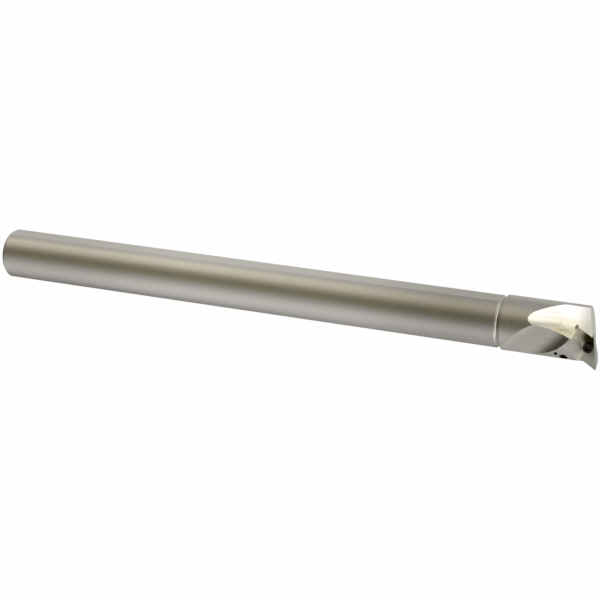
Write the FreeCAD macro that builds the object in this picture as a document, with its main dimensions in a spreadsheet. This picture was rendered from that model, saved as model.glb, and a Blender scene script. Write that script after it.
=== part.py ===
import FreeCAD, Part
import math
import os
import Sketcher

# Indexable boring bar for internal turning, with the screw left in its empty insert seat.
# The origin is the centre of the shank's rear end. +X runs along the axis to the cutting head,
# +Z is the normal of the upper clamping flat, and the nose under the insert points to -Z.
# The rake side of the head, where the chips leave, faces -Y. A setback is measured back from the head's end.

V = FreeCAD.Vector
TOUCH = 1e-4

DIMENSIONS = [
    # shank
    ("shank_diameter", 16.0),
    ("shank_length", 170.0),
    ("across_flats", 15.0),
    ("rear_chamfer", 0.9),
    ("front_chamfer", 0.3),
    # groove that parts the shank from the head
    ("groove_width", 1.3),
    ("groove_depth", 0.35),
    # head
    ("head_diameter", 16.76),
    ("head_length", 27.7),
    ("head_edge_chamfer", 0.15),
    ("blank_allowance", 4.0),
    # end face: leans forward towards the nose and back away from the rake side
    ("end_lean", 6.6),
    ("end_swing", 6.1),
    # nose that carries the insert
    ("nose_reach", 12.5),
    ("nose_trailing_angle", 33.0),
    ("nose_shoulder_setback", 2.7),
    ("nose_shoulder_length", 4.5),
    ("nose_ramp_angle", 40.0),
    ("nose_thickness", 4.2),
    ("nose_relief", 1.0),
    ("nose_turned_radius", 12.6),
    # insert seat
    ("seat_depth", 2.38),
    ("rake_level", 0.4),
    ("seat_back_setback", 4.3),
    ("seat_back_lean", 9.0),
    ("seat_wall_draft", 1.0),
    ("seat_corner_height", 2.0),
    ("seat_wall_slope", 32.0),
    ("seat_corner_relief", 1.0),
    # wide scoop that lets the chips out behind the insert
    ("chip_scoop_setback", 9.6),
    ("chip_scoop_height", 1.87),
    ("chip_scoop_lean", 11.2),
    ("chip_scoop_ramp", 31.8),
    ("chip_scoop_fillet", 3.5),
    # flute that crosses the front of the head
    ("flute_radius", 7.93),
    ("flute_rise", 45.4),
    ("flute_swing", 11.6),
    ("flute_setback", 12.65),
    ("flute_stand_off", 13.91),
    # coolant outlets in the lower flank
    ("small_outlet_diameter", 1.2),
    ("small_outlet_setback", 9.2),
    ("small_outlet_drop", 5.0),
    ("large_outlet_diameter", 2.6),
    ("large_outlet_setback", 7.1),
    ("large_outlet_drop", 6.3),
    ("outlet_depth", 8.0),
    # clamp screw
    ("screw_setback", 1.5),
    ("screw_drop", 5.35),
    ("thread_diameter", 2.5),
    ("thread_length", 5.0),
    ("thread_clearance", 0.05),
    ("screw_head_diameter", 3.1),
    ("screw_head_rim", 0.4),
    ("screw_head_angle", 60.0),
    ("socket_diameter", 1.75),
    ("socket_lobe_diameter", 0.5),
    ("socket_depth", 0.9),
]


def make_sheet(doc):
    sheet = doc.addObject("Spreadsheet::Sheet", "dims")
    for row, (alias, size) in enumerate(DIMENSIONS, start=1):
        sheet.set("A%d" % row, alias)
        sheet.set("B%d" % row, str(size))
        sheet.setAlias("B%d" % row, alias)
    doc.recompute()
    return sheet


def origin_plane(body, role):
    for feature in body.Origin.OriginFeatures:
        if feature.Role == role:
            return feature
    raise ValueError("no plane " + role)


def attach(sketch, body, role, offset=None):
    sketch.AttachmentSupport = [(origin_plane(body, role), "")]
    sketch.MapMode = "FlatFace"
    if offset:
        sketch.setExpression("AttachmentOffset.Base.z", offset)


def bind(sketch, constraint, formula):
    index = sketch.addConstraint(constraint)
    sketch.setExpression("Constraints[%d]" % index, formula)


def pin_point(sketch, geometry, position, across, along):
    """Hold one sketch point at the two formulas, measured from the sketch's origin."""
    x = float(sketch.evalExpression(across))
    y = float(sketch.evalExpression(along))
    bind(sketch, Sketcher.Constraint("DistanceX", -1, 1, geometry, position, x), across)
    bind(sketch, Sketcher.Constraint("DistanceY", -1, 1, geometry, position, y), along)


def outline(body, name, role, corners, offset=None):
    """Closed outline of straight lines whose corners are pairs of formulas."""
    sketch = body.newObject("Sketcher::SketchObject", name)
    attach(sketch, body, role, offset)
    spots = [V(float(sketch.evalExpression(a)), float(sketch.evalExpression(b)), 0) for a, b in corners]
    count = len(spots)
    for i in range(count):
        sketch.addGeometry(Part.LineSegment(spots[i], spots[(i + 1) % count]), False)
    for i in range(count):
        sketch.addConstraint(Sketcher.Constraint("Coincident", i, 2, (i + 1) % count, 1))
    for i, (across, along) in enumerate(corners):
        pin_point(sketch, i, 1, across, along)
    return sketch


def circle(body, name, role, centre, diameter, offset=None):
    sketch = body.newObject("Sketcher::SketchObject", name)
    attach(sketch, body, role, offset)
    spot = V(float(sketch.evalExpression(centre[0])), float(sketch.evalExpression(centre[1])), 0)
    size = float(sketch.evalExpression(diameter))
    sketch.addGeometry(Part.Circle(spot, V(0, 0, 1), size / 2), False)
    pin_point(sketch, 0, 3, *centre)
    bind(sketch, Sketcher.Constraint("Diameter", 0, size), diameter)
    return sketch


def from_end(setback):
    """X of a spot set back from the head's front end."""
    return "dims.shank_length + dims.head_length - (%s)" % setback


def cutter(body, kind, name, sizes, spot, turn, shift):
    """Tool shape taken out of the body: placed at spot, turned, then slid along its own axes."""
    tool = body.newObject(kind, name)
    for size, formula in sizes.items():
        tool.setExpression(size, formula)
    placed = "placement(vector(%s); rotation(%s))" % ("; ".join(spot), "; ".join(turn))
    slid = "placement(vector(%s); rotation(0; 0; 0))" % "; ".join(shift)
    tool.setExpression("Placement", placed + " * " + slid)
    return tool


def pocket(body, name, sketch, depth, away_from_camera_side):
    cut = body.newObject("PartDesign::Pocket", name)
    cut.Profile = sketch
    if depth is None:
        cut.Type = "ThroughAll"
    else:
        cut.setExpression("Length", depth)
    cut.Reversed = not away_from_camera_side
    return cut


def turned_blank(body):
    """Half profile of shank, groove and head, turned about the X axis."""
    groove_radius = "dims.shank_diameter / 2 - dims.groove_depth"
    head_start = "dims.shank_length + dims.groove_width"
    blank_end = "dims.shank_length + dims.head_length + dims.blank_allowance"
    profile = outline(body, "blank_profile", "XZ_Plane", [
        ("0", "0"),
        (blank_end, "0"),
        (blank_end, "dims.head_diameter / 2"),
        (head_start + " + dims.head_edge_chamfer", "dims.head_diameter / 2"),
        (head_start, "dims.head_diameter / 2 - dims.head_edge_chamfer"),
        (head_start, groove_radius),
        ("dims.shank_length", groove_radius),
        ("dims.shank_length", "dims.shank_diameter / 2 - dims.front_chamfer"),
        ("dims.shank_length - dims.front_chamfer", "dims.shank_diameter / 2"),
        ("dims.rear_chamfer", "dims.shank_diameter / 2"),
        ("0", "dims.shank_diameter / 2 - dims.rear_chamfer"),
    ])
    blank = body.newObject("PartDesign::Revolution", "turned_blank")
    blank.Profile = profile
    blank.ReferenceAxis = (profile, ["H_Axis"])
    blank.Angle = 360


def clamping_flats(body):
    """Two flats for the holder's screws, milled along the whole shank and out into the groove."""
    for side, sign in (("upper", "1"), ("lower", "-1")):
        near = sign + " * dims.across_flats / 2"
        far = sign + " * dims.shank_diameter"
        profile = outline(body, side + "_flat_profile", "XZ_Plane", [
            ("-dims.rear_chamfer", near),
            ("dims.shank_length", near),
            ("dims.shank_length", far),
            ("-dims.rear_chamfer", far),
        ])
        flat = pocket(body, side + "_flat", profile, None, True)
        flat.Midplane = True


def nose(body):
    """Wedge below the seat that backs the insert's tip and runs out into the end face."""
    front_slope = "tan(dims.end_lean) / cos(dims.end_swing)"
    front_x = from_end("dims.seat_depth * tan(dims.end_swing)") + " + (%s) * " + front_slope
    run_out = "dims.nose_thickness * tan(dims.end_swing)"
    tip_x = front_x % "dims.nose_reach"
    shoulder_x = from_end("dims.nose_shoulder_setback")
    shoulder_z = "dims.nose_reach - (" + tip_x + " - (" + shoulder_x + ")) * tan(dims.nose_trailing_angle)"
    root = "dims.head_diameter / 4"
    profile = outline(body, "nose_profile", "XZ_Plane", [
        (tip_x, "-dims.nose_reach"),
        (front_x % "dims.head_diameter / 2", "-dims.head_diameter / 2"),
        (front_x % root + " - " + run_out, "-" + root),
        (shoulder_x + " - dims.nose_shoulder_length - (" + shoulder_z + " - " + root
         + ") / tan(dims.nose_ramp_angle)", "-" + root),
        (shoulder_x + " - dims.nose_shoulder_length", "-(" + shoulder_z + ")"),
        (shoulder_x, "-(" + shoulder_z + ")"),
    ], "-dims.seat_depth")
    wedge = body.newObject("PartDesign::Pad", "nose")
    wedge.Profile = profile
    wedge.setExpression("Length", "dims.nose_thickness")
    wedge.setExpression("TaperAngle", "-dims.nose_relief")
    wedge.Reversed = True


def turned_nose(body):
    """The nose is turned down to a radius, so that it clears the wall of the bore."""
    profile = outline(body, "nose_turning_profile", "XZ_Plane", [
        ("dims.shank_length", "dims.nose_turned_radius"),
        ("dims.shank_length + dims.head_length + dims.blank_allowance", "dims.nose_turned_radius"),
        ("dims.shank_length + dims.head_length + dims.blank_allowance", "2 * dims.nose_turned_radius"),
        ("dims.shank_length", "2 * dims.nose_turned_radius"),
    ])
    turning = body.newObject("PartDesign::Groove", "nose_turning")
    turning.Profile = profile
    turning.ReferenceAxis = (profile, ["H_Axis"])
    turning.Angle = 360


def end_face(body):
    """Plane that ends the head, cut by a block in front of it."""
    block = "4 * dims.head_diameter"
    cutter(body, "PartDesign::SubtractiveBox", "end_face",
           {"Length": block, "Width": block, "Height": block},
           ("dims.shank_length + dims.head_length", "0", "0"),
           ("dims.end_swing", "-dims.end_lean", "0"),
           ("0", "-(" + block + ") / 2", "-(" + block + ") / 2"))


def chip_scoop(body):
    """Milled scoop: ramps in from behind, runs level to the front, and has a rounded foot."""
    profile = outline(body, "chip_scoop_profile", "XY_Plane", [
        ("-(dims.head_diameter - dims.rake_level) / tan(dims.chip_scoop_ramp)", "-dims.head_diameter"),
        ("0", "-dims.rake_level"),
        ("dims.head_length", "-dims.rake_level"),
        ("dims.head_length", "-dims.head_diameter"),
    ])
    profile.setExpression("AttachmentOffset", "placement(vector(%s; 0; dims.chip_scoop_height);"
                          " rotation(0; dims.chip_scoop_lean; 0))" % from_end("dims.chip_scoop_setback"))
    scoop = pocket(body, "chip_scoop", profile, None, False)
    body.Document.recompute()
    foot = body.newObject("PartDesign::Fillet", "chip_scoop_foot")
    foot.Base = (scoop, foot_edges(scoop, profile))
    foot.setExpression("Radius", "dims.chip_scoop_fillet")


def foot_edges(scoop, profile):
    """Names of the edges where the scoop's bottom, ramp or level, meets its side wall."""
    sheet = profile.Document.dims
    slope = math.tan(math.radians(sheet.chip_scoop_ramp))
    names = []
    for number, edge in enumerate(scoop.Shape.Edges, start=1):
        ends = [profile.Placement.inverse().multVec(vertex.Point) for vertex in edge.Vertexes]
        rises = [end.y + float(sheet.rake_level) for end in ends]
        on_wall = all(abs(end.z) < TOUCH for end in ends)
        on_bottom = all(min(abs(rise), abs(rise - end.x * slope)) < TOUCH for end, rise in zip(ends, rises))
        if len(ends) == 2 and on_wall and on_bottom:
            names.append("Edge%d" % number)
    return names


def flute(body):
    """Round cut across the front of the head, below the scoop, that leaves a ridge between the two."""
    length = "8 * dims.head_diameter"
    cutter(body, "PartDesign::SubtractiveCylinder", "flute",
           {"Radius": "dims.flute_radius", "Height": length},
           (from_end("dims.flute_setback"), "-dims.flute_stand_off", "0"),
           ("-dims.flute_swing", "90 - dims.flute_rise", "0"),
           ("0", "0", "-(" + length + ") / 2"))


def back_wall(height, rise):
    """X of the seat's back wall at a height above the bar's axis and a rise above the seat's floor."""
    lean = "(%s) * tan(dims.seat_back_lean)" % height
    draft = "(%s) * tan(dims.seat_wall_draft)" % rise
    return from_end("dims.seat_back_setback + " + lean + " + " + draft)


def drafted_pocket(body, name, profile, depth):
    cut = pocket(body, name, profile, depth, False)
    cut.setExpression("TaperAngle", "dims.seat_wall_draft")


def insert_seat(body):
    """Floor, back wall and sloping wall of the seat, open to the rake side, the front and the nose."""
    corner = "dims.seat_corner_height"
    beyond = "dims.shank_length + 2 * dims.head_length"
    bottom = "2 * dims.head_length"
    corner_x = back_wall(corner, "0")
    profile = outline(body, "seat_profile", "XZ_Plane", [
        (corner_x, corner),
        (beyond, corner + " - (" + beyond + " - (" + corner_x + ")) * tan(dims.seat_wall_slope)"),
        (beyond, "-" + bottom),
        (back_wall("-" + bottom, "0"), "-" + bottom),
    ], "-dims.seat_depth")
    drafted_pocket(body, "insert_seat", profile, "dims.seat_depth + dims.head_diameter")


def rake_clearance(body):
    """Head milled down to the rake level in front of the seat's back wall, above and below the seat."""
    top = "dims.head_length"
    bottom = "-dims.head_length"
    rise = "dims.seat_depth + dims.rake_level"
    beyond = "dims.shank_length + 2 * dims.head_length"
    profile = outline(body, "rake_profile", "XZ_Plane", [
        (back_wall(top, rise), top),
        (beyond, top),
        (beyond, bottom),
        (back_wall(bottom, rise), bottom),
    ], "dims.rake_level")
    drafted_pocket(body, "rake_clearance", profile, "dims.head_diameter")


def seat_corner_relief(body):
    """Small drilled relief where the two walls meet, so that the insert's corner isn't pinched."""
    drill = circle(body, "relief_circle", "XZ_Plane",
                   (back_wall("dims.seat_corner_height", "0"), "dims.seat_corner_height"),
                   "dims.seat_corner_relief", "-dims.seat_depth")
    pocket(body, "seat_corner_relief", drill, None, False)


def coolant_outlets(body):
    for size in ("small", "large"):
        mouth = circle(body, size + "_outlet_circle", "XZ_Plane",
                       (from_end("dims.%s_outlet_setback" % size), "-dims.%s_outlet_drop" % size),
                       "dims.%s_outlet_diameter" % size, "dims.head_diameter / 2")
        pocket(body, size + "_outlet", mouth, "dims.outlet_depth", True)


def screw_hole(body):
    """Tapped hole in the seat, drawn at the thread's outer diameter."""
    mouth = circle(body, "screw_hole_circle", "XZ_Plane",
                   (from_end("dims.screw_setback"), "-dims.screw_drop"),
                   "dims.thread_diameter + 2 * dims.thread_clearance", "-dims.seat_depth")
    pocket(body, "screw_hole", mouth, None, True)


def make_bar(doc):
    body = doc.addObject("PartDesign::Body", "bar")
    body.Label = "bar"
    turned_blank(body)
    clamping_flats(body)
    end_face(body)
    nose(body)
    turned_nose(body)
    chip_scoop(body)
    flute(body)
    insert_seat(body)
    rake_clearance(body)
    seat_corner_relief(body)
    coolant_outlets(body)
    screw_hole(body)
    return body


def make_clamp_screw(doc):
    """Countersunk screw with a six-lobed socket, its head standing on the seat's floor."""
    body = doc.addObject("PartDesign::Body", "clamp_screw")
    body.Label = "clamp_screw"
    body.setExpression("Placement", "placement(vector(%s; dims.seat_depth; -dims.screw_drop);"
                       " rotation(0; 0; 90))" % from_end("dims.screw_setback"))
    thread = "dims.thread_diameter / 2"
    head = "dims.screw_head_diameter / 2"
    cone = "(dims.screw_head_diameter - dims.thread_diameter) / 2 / tan(dims.screw_head_angle / 2)"
    profile = outline(body, "screw_profile", "XZ_Plane", [
        ("0", "-dims.thread_length"),
        (thread, "-dims.thread_length"),
        (thread, "0"),
        (head, cone),
        (head, cone + " + dims.screw_head_rim"),
        ("0", cone + " + dims.screw_head_rim"),
    ])
    turned = body.newObject("PartDesign::Revolution", "turned_screw")
    turned.Profile = profile
    turned.ReferenceAxis = (profile, ["V_Axis"])
    turned.Angle = 360
    top = cone + " + dims.screw_head_rim"
    core = circle(body, "socket_circle", "XY_Plane", ("0", "0"), "dims.socket_diameter", top)
    pocket(body, "socket", core, "dims.socket_depth", True)
    lobe = circle(body, "lobe_circle", "XY_Plane", ("dims.socket_diameter / 2", "0"),
                  "dims.socket_lobe_diameter", top)
    lobe_cut = pocket(body, "socket_lobe", lobe, "dims.socket_depth", True)
    lobes = body.newObject("PartDesign::PolarPattern", "socket_lobes")
    lobes.Originals = [lobe_cut]
    lobes.Axis = (lobe, ["N_Axis"])
    lobes.Angle = 360
    lobes.Occurrences = 6
    body.Tip = lobes
    return body


def check(doc):
    for thing in doc.Objects:
        if "Invalid" in thing.State or "Error" in thing.State:
            raise RuntimeError("%s failed: %s" % (thing.Name, thing.State))


def main():
    os.makedirs("parts", exist_ok=True)
    doc = FreeCAD.newDocument("boring_bar")
    make_sheet(doc)
    bodies = [make_bar(doc), make_clamp_screw(doc)]
    doc.recompute()
    check(doc)
    for body in bodies:
        if body.Shape.isNull() or not body.Shape.isValid() or len(body.Shape.Solids) != 1:
            raise RuntimeError(body.Label + " is not one valid solid")
    for body in bodies:
        body.Shape.exportStep(os.path.join("parts", body.Label + ".step"))
        box = body.Shape.BoundBox
        print("%s volume %.1f x %.2f..%.2f y %.2f..%.2f z %.2f..%.2f"
              % (body.Label, body.Shape.Volume, box.XMin, box.XMax, box.YMin, box.YMax, box.ZMin, box.ZMax))


main()
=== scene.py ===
import bpy
import math
from mathutils import Matrix, Vector

# Boring bar on a white ground: satin ground shank, bright chip scoop, darker flute, black clamp screw.

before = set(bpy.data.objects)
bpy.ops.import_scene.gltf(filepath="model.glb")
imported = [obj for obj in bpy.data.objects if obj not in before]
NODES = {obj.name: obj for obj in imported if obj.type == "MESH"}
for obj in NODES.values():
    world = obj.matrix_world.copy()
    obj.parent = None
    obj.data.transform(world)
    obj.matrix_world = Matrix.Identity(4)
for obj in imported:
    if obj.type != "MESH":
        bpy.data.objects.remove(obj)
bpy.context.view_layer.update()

MM = 0.001

# Camera, fitted to the photograph's outline: focal length in pixels, place and axes.
FRAME_PX = 600.0
FOCAL_PX = 1623.13
CAMERA_AT = Vector((0.28428, -0.44522, 0.17936))
CAMERA_RIGHT = Vector((0.92721, 0.37453, 0.0))
CAMERA_UP = Vector((-0.13258, 0.32822, 0.93525))
CAMERA_AXIS = Vector((-0.35028, 0.86718, -0.35399))

FLOOR_DROP = 0.12
FLOOR_SIZE = 12.0
FLOOR_GLOW = 0.985

# The head as it stands in the CAD source, in mm. Stations count X from the shank's front end.
SHANK_LENGTH = 170.0
WALL_STATION = 0.02
HEAD_START = 2.0
INSIDE_SKIN = 8.3
JUST_INSIDE_SKIN = 8.36
FLUTE_RADIUS = 7.93
FLUTE_SPOT = Vector((15.05, -13.91, 0.0))
FLUTE_RISE = 45.4
FLUTE_SWING = 11.6
SEAT_DEPTH = 2.38
SEAT_BACK_END = 26.0
SEAT_BACK_SLOPE = 0.405
SCOOP_START = 8.0
SCOOP_FOOT = -0.5
# The line where the scoop's ramp turns level: its station at the axis's height, and how far forward it runs
# per mm of height.
SCOOP_BEND = 17.73
SCOOP_LEAN = 0.198
# Station, drop below the axis and diameter of each coolant outlet.
OUTLETS = ((18.5, 5.0, 1.2), (20.6, 6.3, 2.6))

# A normal with more than this along an axis counts as square to it.
SQUARE = 0.9
OUTWARD = 0.995

# Finish of each region of the bar: material, colour, duller colour, roughness, stretch of the tool marks over
# X, Y and Z, their depth in mm, and how far they draw the highlights out.
FINISHES = {
    "skin": ("ground_steel", (0.66, 0.635, 0.58), (0.63, 0.605, 0.545), 0.27,
             (5000.0, 40.0, 40.0), 0.0015, 0.4),
    # Scoop colour far brighter than the skin's steel: painted highlight.
    "scoop": ("scoop_steel", (0.94, 0.925, 0.88), (0.9, 0.885, 0.83), 0.38,
              (2500.0, 300.0, 300.0), 0.002, 0.0),
    "flute": ("flute_steel", (0.66, 0.64, 0.57), (0.62, 0.6, 0.53), 0.3,
              (500.0, 500.0, 1200.0), 0.001, 0.0),
    "seat": ("seat_steel", (0.62, 0.61, 0.55), (0.54, 0.53, 0.46), 0.36,
             (600.0, 600.0, 3000.0), 0.002, 0.0),
    # Wall colour far brighter than the skin's steel: painted highlight.
    "wall": ("wall_steel", (0.88, 0.845, 0.78), (0.82, 0.785, 0.72), 0.45,
             (600.0, 600.0, 600.0), 0.001, 0.0),
    # End colour far brighter than the skin's steel: painted highlight.
    "end": ("end_steel", (0.98, 0.96, 0.9), (0.95, 0.93, 0.87), 0.34,
            (60.0, 900.0, 900.0), 0.001, 0.0),
    # Near-black colour in the coolant outlets: painted shade.
    "bore": ("bore_steel", (0.06, 0.05, 0.045), (0.04, 0.035, 0.03), 0.5,
             (900.0, 900.0, 900.0), 0.002, 0.0),
}
SCREW_FINISH = ("black_oxide", (0.05, 0.045, 0.04), (0.03, 0.027, 0.025), 0.38,
                (1500.0, 1500.0, 1500.0), 0.004, 0.0)
MARK_BUMP = 0.35
MARK_WEAR = 0.04
CLOUD_SCALE = 90.0
CORNER_ROUND = 0.85
END_METAL = 0.35
WALL_METAL = 0.7
UPPER_WALL_METAL = 0.5

# Bands along the bar or up it, in mm: low, high, and the part at either end. Stations first, then heights.
# Bands of the painted sheen along the shank's middle and on the head.
BRIGHT_SHANK_REAR = (-150.0, -100.0, 0.0, 1.0)
BRIGHT_SHANK_FRONT = (-50.0, -15.0, 1.0, 0.0)
BRIGHT_HEAD = (0.0, HEAD_START, 0.0, 0.5)
CHAMFER = (-0.4, -0.28, 0.0, 1.0)
GROOVE_CORNER = (0.08, 0.3, 1.0, 0.0)
GROOVE_FLOOR_REAR = (0.25, 0.5, 0.0, 1.0)
GROOVE_FLOOR_FRONT = (1.25, 1.6, 0.55, 0.0)
SCOOP_DISH = (SCOOP_BEND, SCOOP_BEND + 9.0, 0.58, 0.26)
END_FACE = (20.0, 21.0, 0.0, 1.0)
CORNER_UPPER = (-5.0, 0.0, 0.2, 1.0)
CORNER_TOP = (3.5, 6.5, 1.0, 0.2)
CHAMFER_FOOT = (-4.5, -0.5, 0.8, 0.0)
NOSE = (-4.5, -0.5, 1.0, 0.0)
SCOOP_LOW = (1.5, 6.0, 1.0, 0.0)
WALL_UPPER = (-2.6, -2.2, 0.0, 1.0)

# Painted shade on the seat's floor round the screw: station and height, reach in mm, colour and strength.
SEAT_SHADES = (
    ((27.4, SEAT_DEPTH, -4.5), (3.6, 3.0, 5.5), (0.2, 0.19, 0.13), 0.7),
    ((27.2, SEAT_DEPTH, -2.4), (4.4, 3.0, 3.6), (0.025, 0.022, 0.007), 1.0),
)

NEUTRAL = (1.0, 1.0, 0.985)
WARM = (1.0, 0.93, 0.68)
CREAM = (1.0, 0.94, 0.83)
ROSE = (1.0, 0.95, 0.99)
WHITE = (1.0, 1.0, 1.0, 1.0)
# Degrees round the bar's axis (0 level in front, 90 overhead, 180 behind), brightness towards the rear end
# and towards the head, and tint.
SURROUND = (
    (-180, 0.42, 0.36, NEUTRAL),
    (-150, 0.24, 0.24, NEUTRAL),
    (-112, 0.31, 0.43, NEUTRAL),
    (-77, 0.6, 0.49, ROSE),
    (-52, 0.72, 0.58, ROSE),
    (-30, 0.62, 0.5, NEUTRAL),
    (-11, 0.44, 0.28, NEUTRAL),
    (8, 0.27, 0.155, WARM),
    (27, 0.18, 0.13, WARM),
    (45, 0.3, 0.29, WARM),
    (64, 0.7, 0.47, CREAM),
    (85, 0.9, 0.44, CREAM),
    (107, 0.54, 0.34, NEUTRAL),
    (130, 0.61, 0.35, NEUTRAL),
    (158, 0.66, 0.54, NEUTRAL),
    (180, 0.5, 0.5, NEUTRAL),
)
# Bands of a direction's part along an axis: low, high, and the level at either end.
TOWARDS_HEAD = (-0.46, -0.2, 0.0, 1.0)
DIM_REAR = (-0.95, -0.6, 0.12, 1.0)
SIDE_IN_FRONT = (0.1, 0.65, 1.0, 0.0)
SIDE_BELOW = (0.5, 0.9, 1.0, 0.3)
SIDE_PAST_HEAD = (0.82, 0.97, 1.0, 0.5)
SIDE_LEVEL = (0.12, 0.62, 0.0, 1.1)
SIDE_TINT = (1.0, 0.99, 0.97, 1.0)


class Graph:
    """Small helper around one node tree."""

    def __init__(self, tree):
        self.tree = tree
        tree.nodes.clear()

    def add(self, kind, **sockets):
        node = self.tree.nodes.new(kind)
        for key, value in sockets.items():
            self.put(node, key, value)
        return node

    def put(self, node, key, value):
        """Links or sets an input, given by its name or, as in i6, by its number."""
        numbered = key[0] == "i" and key[1:].isdigit()
        target = node.inputs[int(key[1:])] if numbered else node.inputs[key]
        if isinstance(value, bpy.types.NodeSocket):
            self.tree.links.new(value, target)
        else:
            target.default_value = value

    def math(self, operation, a, b):
        node = self.add("ShaderNodeMath", i0=a, i1=b)
        node.operation = operation
        return node.outputs[0]

    def product(self, first, *others):
        for other in others:
            first = self.math("MULTIPLY", first, other)
        return first

    def span(self, value, low, high, to_low=0.0, to_high=1.0):
        node = self.add("ShaderNodeMapRange")
        node.interpolation_type = "SMOOTHSTEP"
        for key, number in (("i0", value), ("i1", low), ("i2", high), ("i3", to_low), ("i4", to_high)):
            self.put(node, key, number)
        return node.outputs[0]

    def mix(self, factor, a, b):
        node = self.add("ShaderNodeMix")
        node.data_type = "RGBA"
        self.put(node, "i0", factor)
        self.put(node, "i6", a)
        self.put(node, "i7", b)
        return node.outputs[2]

    def ramp(self, value, stops):
        node = self.add("ShaderNodeValToRGB", i0=value)
        band = node.color_ramp
        band.interpolation = "EASE"
        while len(band.elements) < len(stops):
            band.elements.new(0.5)
        for element, (place, colour) in zip(band.elements, stops):
            element.position = place
            element.color = (*colour, 1.0)
        return node.outputs[0]

    def place(self):
        return self.add("ShaderNodeTexCoord").outputs["Object"]

    def axes(self, vector):
        return self.add("ShaderNodeSeparateXYZ", Vector=vector).outputs

    def noise(self, vector, scale, detail=2.0, roughness=0.5):
        node = self.add("ShaderNodeTexNoise", Vector=vector, Scale=scale, Detail=detail, Roughness=roughness)
        return node.outputs["Fac"]

    def stretch(self, vector, scale):
        return self.add("ShaderNodeMapping", Vector=vector, Scale=scale).outputs[0]

    def background(self, colour, strength):
        return self.add("ShaderNodeBackground", Color=colour, Strength=strength).outputs[0]


def steel(name, colour, dark, roughness, lines, grain, anisotropic):
    """Metal with fine tool marks, which roughen it a little and catch the light."""
    material = bpy.data.materials.new(name)
    material.use_nodes = True
    graph = Graph(material.node_tree)
    out = graph.add("ShaderNodeOutputMaterial")
    shader = graph.add("ShaderNodeBsdfPrincipled")
    graph.tree.links.new(shader.outputs[0], out.inputs[0])
    place = graph.place()
    marks = graph.noise(graph.stretch(place, lines), 1.0, 3.0, 0.6)
    cloud = graph.noise(place, CLOUD_SCALE, 3.0, 0.55)
    tone = graph.mix(graph.span(cloud, 0.3, 0.7), (*dark, 1.0), (*colour, 1.0))
    graph.put(shader, "Base Color", tone)
    graph.put(shader, "Metallic", 1.0)
    wear = graph.math("ADD", graph.span(marks, 0.25, 0.75, -MARK_WEAR, MARK_WEAR), roughness)
    graph.put(shader, "Roughness", wear)
    if anisotropic:
        graph.put(shader, "Anisotropic", anisotropic)
        tangent = graph.add("ShaderNodeTangent")
        tangent.direction_type = "RADIAL"
        tangent.axis = "X"
        graph.put(shader, "Tangent", tangent.outputs[0])
    bump = graph.add("ShaderNodeBump", Strength=MARK_BUMP, Distance=grain * MM, Height=marks)
    graph.put(shader, "Normal", bump.outputs[0])
    graph.bump = bump
    graph.material = material
    graph.shader = shader
    return graph


def blend(graph, part, colour):
    """Base colour turns to the given one by the part, from 0 to 1."""
    before = graph.shader.inputs["Base Color"].links[0].from_socket
    graph.put(graph.shader, "Base Color", graph.mix(part, before, (*colour, 1.0)))


def lean(graph, reach):
    """Shading leans towards the head by the reach, as on a slightly dished or rounded surface."""
    aside = graph.add("ShaderNodeCombineXYZ", X=reach).outputs[0]
    normal = graph.add("ShaderNodeNewGeometry").outputs["Normal"]
    total = graph.add("ShaderNodeVectorMath", i0=normal, i1=aside).outputs[0]
    unit = graph.add("ShaderNodeVectorMath", i0=total)
    unit.operation = "NORMALIZE"
    graph.put(graph.bump, "Normal", unit.outputs[0])


def stations(graph):
    """Station and height of the shaded point in mm."""
    axes = graph.axes(graph.place())
    along = graph.math("SUBTRACT", graph.math("DIVIDE", axes[0], MM), SHANK_LENGTH)
    return along, graph.math("DIVIDE", axes[2], MM)


def painted_middle_sheen(graph):
    """Painted sheen: the shank is a little brighter along its middle, and so is the head."""
    along, _ = stations(graph)
    middle = graph.product(graph.span(along, *BRIGHT_SHANK_REAR), graph.span(along, *BRIGHT_SHANK_FRONT))
    part = graph.math("ADD", middle, graph.span(along, *BRIGHT_HEAD))
    blend(graph, part, (0.79, 0.765, 0.7))


def groove_highlight_and_shade(graph):
    """The groove's corner next to the shank is rounded, shown by shading that leans, and has a painted
    highlight; its floor has painted shade.
    """
    along, height = stations(graph)
    upper = graph.span(height, *CORNER_UPPER)
    inside = graph.product(graph.math("GREATER_THAN", along, WALL_STATION), upper)
    corner = graph.product(inside, graph.span(along, *GROOVE_CORNER))
    lean(graph, graph.product(corner, CORNER_ROUND))
    blend(graph, corner, (0.98, 0.96, 0.91))
    floor = graph.product(graph.span(along, *GROOVE_FLOOR_REAR), graph.span(along, *GROOVE_FLOOR_FRONT))
    middle = graph.product(upper, graph.span(height, *CORNER_TOP))
    blend(graph, graph.product(middle, floor), (0.2, 0.19, 0.15))


def shaded_chamfer_foot(graph):
    """The lower part of the small chamfer at the shank's front end is darker than the rest: painted shade."""
    along, height = stations(graph)
    chamfer = graph.product(graph.span(along, *CHAMFER), graph.math("LESS_THAN", along, WALL_STATION))
    blend(graph, graph.product(chamfer, graph.span(height, *CHAMFER_FOOT)), (0.27, 0.26, 0.22))


def dish(graph):
    """The scoop's level bottom shades on from its ramp without a crease and flattens towards the front; its
    low part is tinted darker and warmer, a painted reflection.
    """
    along, height = stations(graph)
    past = graph.math("SUBTRACT", along, graph.product(height, SCOOP_LEAN))
    level = graph.math("GREATER_THAN", past, SCOOP_BEND)
    lean(graph, graph.product(level, graph.span(past, *SCOOP_DISH)))
    blend(graph, graph.span(height, *SCOOP_LOW), (0.83, 0.795, 0.665))


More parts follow.
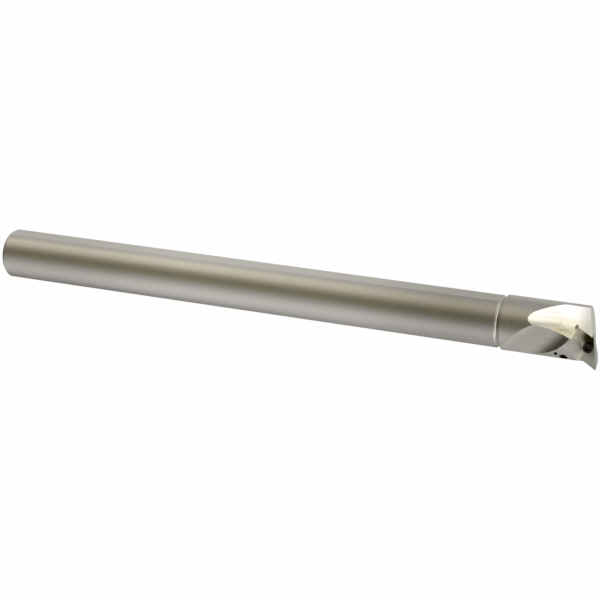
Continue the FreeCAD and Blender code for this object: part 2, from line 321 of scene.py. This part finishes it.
def painted_shade_patch(graph, spot, reach, colour, strength):
    """Soft painted shade round a spot."""
    mapping = graph.add("ShaderNodeMapping", Vector=graph.place())
    mapping.vector_type = "TEXTURE"
    graph.put(mapping, "Location", Vector((SHANK_LENGTH + spot[0], spot[1], spot[2])) * MM)
    graph.put(mapping, "Scale", Vector(reach) * MM)
    ball = graph.add("ShaderNodeTexGradient", Vector=mapping.outputs[0])
    ball.gradient_type = "SPHERICAL"
    blend(graph, graph.product(graph.span(ball.outputs[1], 0.0, 0.6), strength), colour)


def painted_highlight_upper(graph):
    """The upper, outer part of the seat's back wall has a painted highlight, bright like the scoop it meets.
    """
    axes = graph.axes(graph.place())
    rise = graph.math("ADD", axes[2], graph.product(axes[1], SEAT_BACK_SLOPE))
    part = graph.span(graph.math("DIVIDE", rise, MM), *WALL_UPPER)
    blend(graph, part, (0.88, 0.84, 0.7))
    less = graph.product(part, WALL_METAL - UPPER_WALL_METAL)
    graph.put(graph.shader, "Metallic", graph.math("SUBTRACT", WALL_METAL, less))


def shaded_nose(graph):
    """The nose's part of the head's end face is darker than the part above it: painted shade."""
    graph.put(graph.shader, "Metallic", END_METAL)
    along, height = stations(graph)
    low = graph.span(height, *NOSE)
    blend(graph, graph.product(low, graph.span(along, *END_FACE)), (0.6, 0.58, 0.52))


def region_at(centre, normal):
    """Which region of the bar a face belongs to."""
    spot = Vector((centre.x / MM - SHANK_LENGTH, centre.y / MM, centre.z / MM))
    radius = math.hypot(spot.y, spot.z)
    rise = math.radians(FLUTE_RISE)
    swing = math.radians(FLUTE_SWING)
    axis = Vector((math.cos(rise) * math.cos(swing), -math.cos(rise) * math.sin(swing), math.sin(rise)))
    arm = spot - FLUTE_SPOT
    from_axis = (arm - arm.dot(axis) * axis).length
    if spot.x < HEAD_START:
        return "end" if abs(normal.x) > SQUARE else "skin"
    if abs(from_axis - FLUTE_RADIUS) < 0.06 and radius < INSIDE_SKIN:
        return "flute"
    if abs(spot.y - SEAT_DEPTH) < 0.02 and normal.y < -SQUARE:
        return "seat"
    if normal.x > SQUARE and spot.x < SEAT_BACK_END:
        return "wall"
    for station, drop, size in OUTLETS:
        away = math.hypot(spot.x - station, spot.z + drop)
        if away < size / 2 + 0.05 and radius < INSIDE_SKIN and spot.y < 0.5:
            return "bore"
    if abs(normal.x) > SQUARE:
        return "end"
    outward = (normal.y * spot.y + normal.z * spot.z) / max(radius, 0.001)
    above_foot = spot.z > SCOOP_FOOT and spot.x > SCOOP_START
    if above_foot and radius < JUST_INSIDE_SKIN and outward < OUTWARD and spot.y < SEAT_DEPTH - 0.05:
        return "scoop"
    return "skin"


def paint_bar(bar):
    graphs = {region: steel(*finish) for region, finish in FINISHES.items()}
    painted_middle_sheen(graphs["skin"])
    groove_highlight_and_shade(graphs["skin"])
    shaded_chamfer_foot(graphs["skin"])
    dish(graphs["scoop"])
    for patch in SEAT_SHADES:
        painted_shade_patch(graphs["seat"], *patch)
    painted_highlight_upper(graphs["wall"])
    shaded_nose(graphs["end"])
    bar.data.materials.clear()
    for graph in graphs.values():
        bar.data.materials.append(graph.material)
    regions = list(graphs)
    for face in bar.data.polygons:
        face.material_index = regions.index(region_at(face.center, face.normal))


def paint_screw(screw):
    screw.data.materials.clear()
    screw.data.materials.append(steel(*SCREW_FINISH).material)


def make_world():
    """Soft studio surround: bright overhead and behind, a dim band at the camera's height, a bright side."""
    world = bpy.data.worlds.new("studio")
    bpy.context.scene.world = world
    world.use_nodes = True
    graph = Graph(world.node_tree)
    out = graph.add("ShaderNodeOutputWorld")
    across, depth, height = graph.axes(graph.add("ShaderNodeTexCoord").outputs["Generated"])
    angle = graph.math("ARCTAN2", height, graph.product(depth, -1.0))
    turn = graph.math("ADD", graph.math("DIVIDE", angle, 2 * math.pi), 0.5)
    sides = []
    for column in (1, 2):
        stops = []
        for row in SURROUND:
            stops.append((row[0] / 360.0 + 0.5, tuple(row[column] * part for part in row[3])))
        sides.append(graph.ramp(turn, stops))
    colour = graph.mix(graph.span(across, *TOWARDS_HEAD), *sides)
    surround = graph.background(colour, graph.span(across, *DIM_REAR))
    side_level = graph.product(graph.span(depth, *SIDE_IN_FRONT), graph.span(height, *SIDE_BELOW),
                               graph.span(across, *SIDE_PAST_HEAD), graph.span(across, *SIDE_LEVEL))
    side = graph.background(SIDE_TINT, side_level)
    studio = graph.add("ShaderNodeAddShader", i0=surround, i1=side).outputs[0]
    white = graph.background(WHITE, 1.0)
    seen = graph.add("ShaderNodeLightPath").outputs["Is Camera Ray"]
    pick = graph.add("ShaderNodeMixShader", i0=seen, i1=studio, i2=white)
    graph.tree.links.new(pick.outputs[0], out.inputs[0])


def make_floor():
    """White ground well below the bar, which is held by its shank and casts only a faint shadow on it."""
    bpy.ops.mesh.primitive_plane_add(size=FLOOR_SIZE, location=(0.1, 0.0, -FLOOR_DROP))
    floor = bpy.context.object
    floor.name = "floor"
    material = bpy.data.materials.new("white_ground")
    material.use_nodes = True
    graph = Graph(material.node_tree)
    out = graph.add("ShaderNodeOutputMaterial")
    tone = graph.mix(graph.noise(graph.place(), 3.0), (0.88, 0.88, 0.88, 1.0), (0.92, 0.92, 0.92, 1.0))
    paper = graph.add("ShaderNodeBsdfDiffuse", Color=tone).outputs[0]
    glow = graph.add("ShaderNodeEmission", Color=WHITE, Strength=1.0).outputs[0]
    seen = graph.add("ShaderNodeLightPath").outputs["Is Camera Ray"]
    pick = graph.add("ShaderNodeMixShader", i0=graph.product(seen, FLOOR_GLOW), i1=paper, i2=glow)
    graph.tree.links.new(pick.outputs[0], out.inputs[0])
    floor.data.materials.append(material)
    floor.visible_glossy = False


def make_camera():
    data = bpy.data.cameras.new("camera")
    camera = bpy.data.objects.new("camera", data)
    bpy.context.scene.collection.objects.link(camera)
    data.sensor_width = 36.0
    data.lens = data.sensor_width * FOCAL_PX / FRAME_PX
    data.clip_start = 0.01
    data.clip_end = 20.0
    columns = (CAMERA_RIGHT, CAMERA_UP, -CAMERA_AXIS)
    rows = [[*(column[i] for column in columns), CAMERA_AT[i]] for i in range(3)]
    camera.matrix_world = Matrix((*rows, (0.0, 0.0, 0.0, 1.0)))
    bpy.context.scene.camera = camera


paint_bar(NODES["bar"])
paint_screw(NODES["clamp_screw"])
make_world()
make_floor()
make_camera()
bpy.context.scene.view_settings.view_transform = "Standard"
